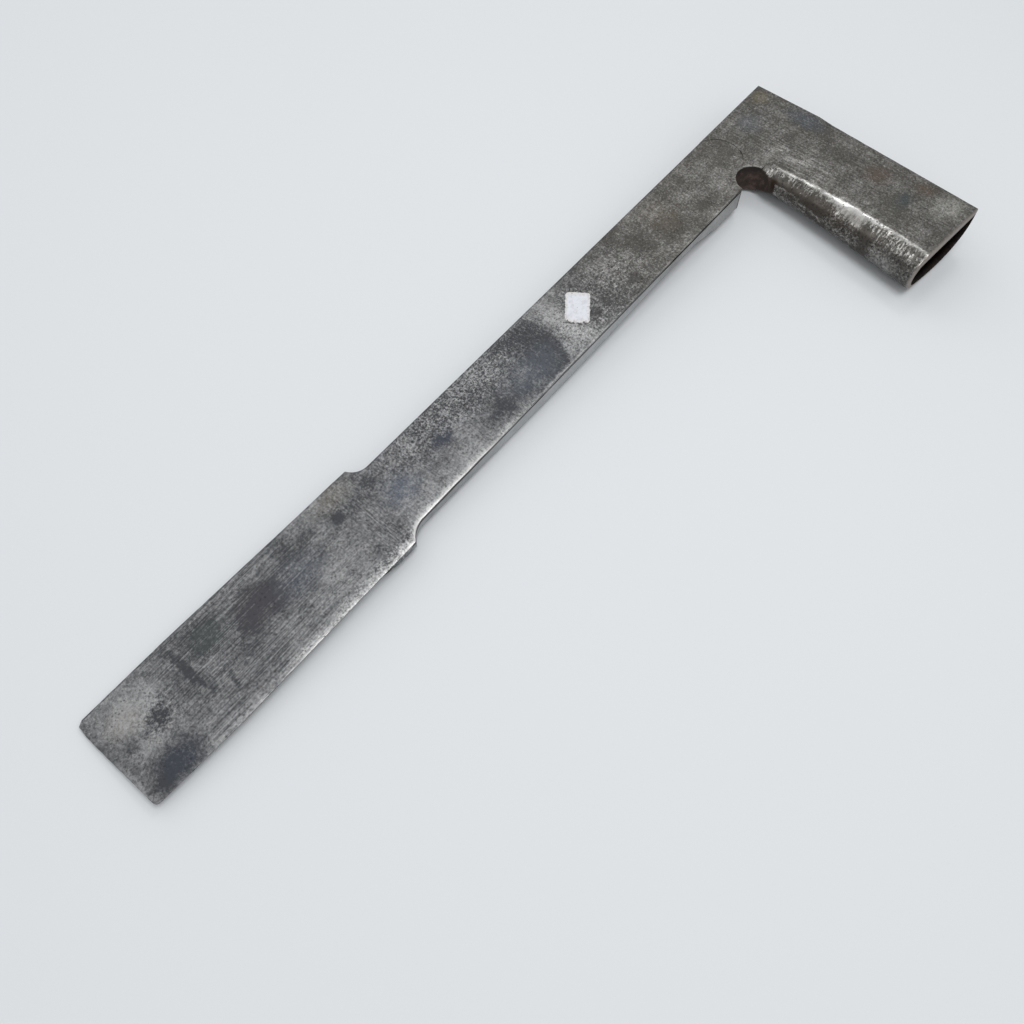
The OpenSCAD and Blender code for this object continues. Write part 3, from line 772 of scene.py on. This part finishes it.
socketTints = {
    "ochreCorner": (6, 6, 8, 8, 0, 0.9, (0.14, 0.125, 0.09)),
    "backBlue": (5, 34, 9, 18, 0, 0.8, (0.085, 0.095, 0.108)),
    "plateBlue": (27, 12, 12, 11, 0, 0.7, (0.11, 0.12, 0.13)),
    "rustMiddle": (16, 85, 10, 12, 30, 0.8, (0.115, 0.092, 0.076)),
    "rustBack": (10.5, 110, 7, 8, 0, 0.8, (0.115, 0.092, 0.073)),
    "blueSpot": (25, 104.5, 10, 5.5, -5, 0.9, (0.07, 0.082, 0.088)),
    "mouthShade": (33, 102, 15, 12, 0, 0.6, (0.095, 0.093, 0.08)),
    "mouthGreen": (13, 125, 14, 12, 0, 0.8, (0.15, 0.152, 0.13)),
    "roundBrown": (54, 72, 9, 60, 0, 0.7, (0.066, 0.054, 0.046)),
    "cornerHole": (53.2, 44.2, 4, 4, 0, 0.9, (0.034, 0.021, 0.014)),
}
bladeLook = {
    "stains": bladeStains, "tints": bladeTints, "ground": -1.0, "strokes": (0.5, 7, 4),
    "scratched": (332, 20, 7, 26), "cool": (120, 220),
}
socketLook = {
    "stains": socketStains, "tints": socketTints, "ground": -1.95, "strokes": (1.1, 14, 4),
    "scratched": (34, 47, 13, 34), "cool": (300, 400),
}
metal = {
    "bareWarm": (0.41, 0.405, 0.39), "bareCool": (0.41, 0.415, 0.42),
    "oxideWarm": (0.082, 0.079, 0.072), "oxideCool": (0.064, 0.067, 0.073),
    # The polish colour also paints highlights, the side colour is lightened as a painted reflection of the
    # floor, and the darkest rust also paints shadow in the notch
    "polishedAndHighlight": (0.62, 0.62, 0.61), "side": (0.5, 0.505, 0.51), "pepper": (0.045, 0.043, 0.043),
    "pit": (0.02, 0.018, 0.018), "rust": (0.04, 0.026, 0.02), "brightRust": (0.1, 0.068, 0.056),
    "deepRustAndShadow": (0.007, 0.004, 0.003), "lip": (0.33, 0.29, 0.265), "crack": (0.008, 0.007, 0.006),
}
# Scorch on the shank: a crisp bowed edge towards the label, fading away from it
scorch = {
    "start": 205.8, "bow": 0.0145, "bowAt": 13, "amount": 1.25, "crisp": (-0.7, 1.3),
    "fading": (34, 12), "outerEdge": (0.3, 3), "innerEdge": (35.4, 33.6), "heavier": (14, 22, 0.6),
}
seams = {
    "crackHalfWidth": 0.32, "crackCore": 0.1, "crackEnd": (60, 52), "rustRadius": 9.9,
    "top": (-0.6, -1.0), "bottom": (-2.3, -1.8), "side": (33.6, 34.6), "end": (331, 329),
    "start": (68, 74), "faintRise": (132, 145), "faintFade": (238, 230), "faint": 0.65,
}
# Noise patterns: strength, size in millimetres of one blotch, detail, roughness and, for some, a warp
patterns = {
    "cloud": (4.2, 22, 4, 0.6), "blotch": (3.6, 6.5, 4, 0.68), "sand": (8, 1.3, 3, 0.8),
    "grit": (4, 3.1, 3, 0.75, 0.4), "across": (4, 1, 3, 0.6), "along": (7, 1, 4, 0.7),
    "ticks": (9, 1, 3, 0.6, 0.3), "crack": (0.8, 2.5, 2),
}
# Spots: where in the noise they start and are full, then its size, detail and roughness
grains = {
    "pepper": (0.55, 0.63, 1.05, 2, 0.6), "salt": (0.57, 0.66, 1.15, 2, 0.6),
    "pits": (0.44, 0.54, 6, 2, 0.5), "rust": (0.42, 0.66, 4, 4, 0.6), "crack": (0.36, 0.56, 9, 2),
}


def flat(colour):  # a colour with its alpha
    return (*colour, 1)


def stainedWear(f, look, ragged, gentle):
    # How worn the face is: the ground, plus each stain's oval times its amount, less the scorch
    wear = look["ground"]
    for (px, py, halfLong, halfWide, turn, amount, *core) in look["stains"].values():
        wear = f.patch(gentle if core else ragged, px, py, halfLong, halfWide, turn, *core) * amount + wear
    x, y, _ = f.parts(gentle)
    into = x - ((y - scorch["bowAt"]) ** 2 * scorch["bow"] + scorch["start"])
    onFace = f.step(*scorch["outerEdge"], y) * f.step(*scorch["innerEdge"], y)
    low, high, more = scorch["heavier"]
    heavier = f.step(low, high, y) * more + 1
    burnt = f.step(*scorch["crisp"], into) * f.step(*scorch["fading"], into)
    return wear - burnt * onFace * heavier * scorch["amount"]


def fromMiddle(x, y, middle):  # distance in the face's plane from a round's middle
    return ((x - middle[0]) ** 2 + (y - middle[1]) ** 2) ** 0.5


def darkLines(f, place, x, y, z):
    # The weld crack round the tongue and the open seam on the inner side, whichever is more
    wander = f.swing(place, *patterns["crack"])
    offCrack = abs(fromMiddle(x, y, tongue) - tongue[2] + wander)
    crack = f.step(seams["crackHalfWidth"], seams["crackCore"], offCrack) * f.step(*seams["crackEnd"], x)
    crack = crack * f.spots(place, *grains["crack"])
    line = f.step(*seams["top"], z) * f.step(*seams["bottom"], z) * f.step(*seams["side"], y)
    line = line * f.step(*seams["end"], x)
    faint = f.step(*seams["faintRise"], x) * f.step(*seams["faintFade"], x) * seams["faint"]
    line = line * f.step(*seams["start"], x) * (1 - faint)
    return crack.orMore(line)


def metalFinish(name, look):
    f = Finish(name)
    place = f.toolPlace()
    x, y, z = f.parts(place)
    ragged = f.warped(place, 6, 7.0)
    gentle = f.warped(place, 2.5, 1.6)
    wear = stainedWear(f, look, ragged, gentle)
    rim = f.attribute("rim")
    wearAndHighlight = f.attribute("wearAndHighlight")
    chatter = f.attribute("chatter")
    pocked = f.attribute("pocked")
    smooth = f.attribute("smooth")
    hollow = f.attribute("hollow")
    onBit = f.step(336, 348, x)
    below = f.step(-0.35, -0.7, z)  # the sides, just under the face
    innerSide = below * f.step(34.4, 35.4, y) * f.step(340, 328, x) * f.step(66, 72, x)
    fromNotch = fromMiddle(x, y, notch)
    # Painted highlight, partly real wear: a thin arc on the face round the notch is lightened
    notchRimWearAndHighlight = f.step(seams["rustRadius"] + 1.4, seams["rustRadius"] - 0.1, fromNotch) * f.step(-0.5, -0.1, z)
    speckled = f.patch(ragged, 262, 6, 70, 18) + f.patch(ragged, 335, 40, 60, 6)
    speckled = speckled + f.patch(ragged, 176, 22, 48, 22) * 0.7 + f.patch(ragged, 446, 14, 12, 12) * 0.7
    # Salt-and-pepper grain and grinding strokes: across the shank and the plate, along the bit
    cloud = f.swing(place, *patterns["cloud"])
    blotch = f.swing(place, *patterns["blotch"])
    grain = f.swing(place, *patterns["sand"]) + f.swing(place, *patterns["grit"])
    ticks = f.swing(f.stretch(place, (4, 0.9, 5), 8), *patterns["ticks"])
    across = f.swing(f.stretch(place, look["strokes"], 2), *patterns["across"])
    along = f.swing(f.stretch(place, (26, 0.6, 4), -1), *patterns["along"])
    strokesAcross = across * (1 - onBit) * (f.patch(place, *look["scratched"]) * 1.5 + 1)
    strokesAlong = along * onBit * f.step(450, 430, x) * (f.step(350, 390, x) * 0.45 + 0.55)
    stroke = strokesAcross + strokesAlong
    fine = grain * (speckled * 1.1 + pocked * 0.5 + 0.85) + stroke * (onBit * 0.4 + 0.85)
    fine = fine * (1 - innerSide * 0.6) * (1 - smooth * 0.85) * (1 - wearAndHighlight * 0.45)
    # All of it, with the painted light and shade below, adds up to a level, and that to how bare the metal is
    # between oxide and steel
    level = wear + (cloud + blotch * (1 - onBit * 0.4)) * (1 - smooth * 0.7) + fine
    # Painted light: the highlight marks lighten it and the edge bands of painted shade darken it; the inner
    # side is lightened as a painted reflection of the floor, and the skin's polish and painted light and the
    # notch's lit arc are added
    level = level + ticks * chatter * 2 + wearAndHighlight * 1.8 - rim * 1.6
    level = level + innerSide * 1.5 + f.attribute("shade") + notchRimWearAndHighlight * 0.8
    bareness = f.step(-3.2, 2.6, level)
    cool = f.step(*look["cool"], x)
    oxide = f.mix(cool, flat(metal["oxideWarm"]), flat(metal["oxideCool"]))
    for (px, py, halfLong, halfWide, turn, strength, tint) in look["tints"].values():
        oxide = f.mix(f.patch(ragged, px, py, halfLong, halfWide, turn, 0.15) * strength, oxide, flat(tint))
    bare = f.mix(cool, flat(metal["bareWarm"]), flat(metal["bareCool"]))
    # Painted highlight, partly real polish: the marked edges and the ridge move towards the polish colour
    bare = f.mix(wearAndHighlight * 0.7, bare, flat(metal["polishedAndHighlight"]))
    colour = f.mix(bareness, oxide, bare)
    # Painted reflection of the floor: the inner side takes a lighter colour, less so near the root, fading
    # out towards the shoulder
    sideReflection = f.step(130, 155, x) * 0.3 + 0.42 - abs(grain) * 0.22
    colour = f.mix(innerSide * sideReflection * f.step(300, 250, x), colour, flat(metal["side"]))
    # Pepper and salt: single dark and light grains, thickest in the speckled zones
    plain = (1 - innerSide) * (1 - smooth)
    often = speckled * 0.55 + pocked * 0.5 + 0.4 + (1 - cool) * 0.15
    pepper = f.spots(place, *grains["pepper"]) * often * plain * (1 - onBit * 0.35) * (1 - wearAndHighlight * 0.6)
    salt = f.spots(f.stretch(place, (1, 1, 1), 50), *grains["salt"])
    salt = salt * (speckled * 0.35 + pocked * 0.1 + 0.25)
    salt = salt * (bareness + (1 - cool) * (1 - pocked) * 0.5) * plain
    colour = f.mix(pepper, colour, flat(metal["pepper"]))
    colour = f.mix(salt, colour, flat(metal["polishedAndHighlight"]))
    # Pits: small dark cells in clusters
    cells = {"Vector": f.warped(place, 1.5, 0.9), "Scale": 0.62}
    cell = f.node("ShaderNodeTexVoronoi", {"feature": "F1"}, cells)
    pitted = f.step(0.36, 0.14, cell) * f.spots(place, *grains["pits"]) * (1 - innerSide)
    colour = f.mix(pitted * (bareness * 0.55 + 0.2), colour, flat(metal["pit"]))
    # Worn lip of the mouth, rust in the notch and the hollow with painted shadow on the notch wall, and the
    # dark lines over everything
    inNotch = f.step(seams["rustRadius"] + 0.5, seams["rustRadius"], fromNotch) * f.step(-0.15, -0.6, z)
    inNotch = inNotch * (1 - f.attribute("skin"))
    rusty = inNotch.orMore(hollow)
    rust = f.mix(f.spots(place, *grains["rust"]), flat(metal["rust"]), flat(metal["brightRust"]))
    # The hollow's rust is darkest; on the notch wall painted shadow darkens the upper part below the edge
    rust = f.mix((hollow * 0.95).orMore(f.step(-6, -1, z) * 0.8), rust, flat(metal["deepRustAndShadow"]))
    dark = darkLines(f, place, x, y, z)
    colour = f.mix(f.attribute("lip") * 0.75, colour, flat(metal["lip"]))
    colour = f.mix(rusty, colour, rust)
    colour = f.mix(dark * 0.92, colour, flat(metal["crack"]))
    rough = 0.46 - bareness * 0.1 + pitted * 0.2 + rusty * 0.35 + hollow * 0.2 - wearAndHighlight * 0.08
    height = grain * 0.04 + stroke * 0.03 + blotch * 0.08 - pitted * 0.5 + ticks * chatter * 0.12 - dark * 0.6
    bump = f.node("ShaderNodeBump", {}, {"Height": height, "Strength": 0.5, "Distance": 0.0002})
    f.set(Base_Color=colour, Metallic=1 - inNotch * 0.8, Roughness=rough, Normal=bump)
    return f.material


paper = {
    "sheet": (0.68, 0.695, 0.75), "margin": (0.64, 0.63, 0.62), "smudge": (0.48, 0.485, 0.52),
    "dirt": (0.28, 0.26, 0.24), "roughness": 0.75, "fibre": (0.8, 3, 0.6), "bump": 0.3,
    "fibreHeight": 0.0001, "smudges": (0.46, 0.66, 2.4, 4, 0.7), "smudged": 0.5,
    "dirtSpots": (0.5, 0.66, 1.5, 4, 0.7), "marginDirt": 0.75, "sheetDirt": 0.12,
}


def paperFinish():
    f = Finish("labelPaper")
    place = f.toolPlace()
    margin = f.attribute("margin")
    smudge = f.spots(place, *paper["smudges"]) * paper["smudged"]
    dirt = f.spots(place, *paper["dirtSpots"]) * (margin * paper["marginDirt"] + paper["sheetDirt"])
    colour = f.mix(margin, flat(paper["sheet"]), flat(paper["margin"]))
    colour = f.mix(smudge, colour, flat(paper["smudge"]))
    colour = f.mix(dirt, colour, flat(paper["dirt"]))
    fibre = f.noise(place, *paper["fibre"])
    bump = f.node("ShaderNodeBump", {},
                  {"Height": fibre, "Strength": paper["bump"], "Distance": paper["fibreHeight"]})
    f.set(Base_Color=colour, Roughness=paper["roughness"], Normal=bump)
    return f.material


def dress(piece, finish):
    piece.data.materials.clear()
    piece.data.materials.append(finish)


bladeFinish = metalFinish("bladeMetal", bladeLook)
socketFinish = metalFinish("socketMetal", socketLook)
for piece in (shankPiece, bitPiece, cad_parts["shank_back"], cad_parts["bit_back"]):
    dress(piece, bladeFinish)
for piece in (socketPiece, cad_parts["socket_root"]):
    dress(piece, socketFinish)
dress(labelPiece, paperFinish())
print("finishes made")

# Bench, lamps and surroundings
bench = {"half": 3, "colour": (0.687, 0.713, 0.736), "roughness": 0.85, "shine": 0.2}
half = bench["half"]
benchMesh = bpy.data.meshes.new("bench")
corners = [(-half, -half, 0), (half, -half, 0), (half, half, 0), (-half, half, 0)]
benchMesh.from_pydata(corners, [], [(0, 1, 2, 3)])
benchPiece = bpy.data.objects.new("bench", benchMesh)
bpy.context.scene.collection.objects.link(benchPiece)
cloth = Finish("benchPaper")
cloth.set(Base_Color=flat(bench["colour"]), Roughness=bench["roughness"], Specular_IOR_Level=bench["shine"])
dress(benchPiece, cloth.material)

lamps = {
    "overhead": {"place": (0.02, 0.12, 1.0), "aim": (0, 0, 0), "size": 0.45, "power": 3.4},
    "ridge": {"place": (-0.75, -0.3, 1.0), "aim": (-0.1, 0, 0), "size": 0.25, "power": 1.2},
    "window": {"place": (-0.1, -1.4, 0.9), "aim": (0, 0, 0), "size": 1.2, "power": 3.5},
}
for name, lamp in lamps.items():
    light = bpy.data.lights.new(name, "AREA")
    light.shape = "SQUARE"
    light.size = lamp["size"]
    light.energy = lamp["power"]
    holder = bpy.data.objects.new(name, light)
    away = Vector(lamp["place"]) - Vector(lamp["aim"])
    aimed = away.to_track_quat("Z", "Y").to_matrix().to_4x4()
    holder.matrix_world = Matrix.Translation(lamp["place"]) @ aimed
    bpy.context.scene.collection.objects.link(holder)
room = {"colour": (1, 1, 1), "strength": 0.66}
world = bpy.data.worlds.new("room")
world.use_nodes = True
background = world.node_tree.nodes["Background"]
background.inputs["Color"].default_value = flat(room["colour"])
background.inputs["Strength"].default_value = room["strength"]
bpy.context.scene.world = world
bpy.context.scene.view_settings.view_transform = "Standard"
print("lit")
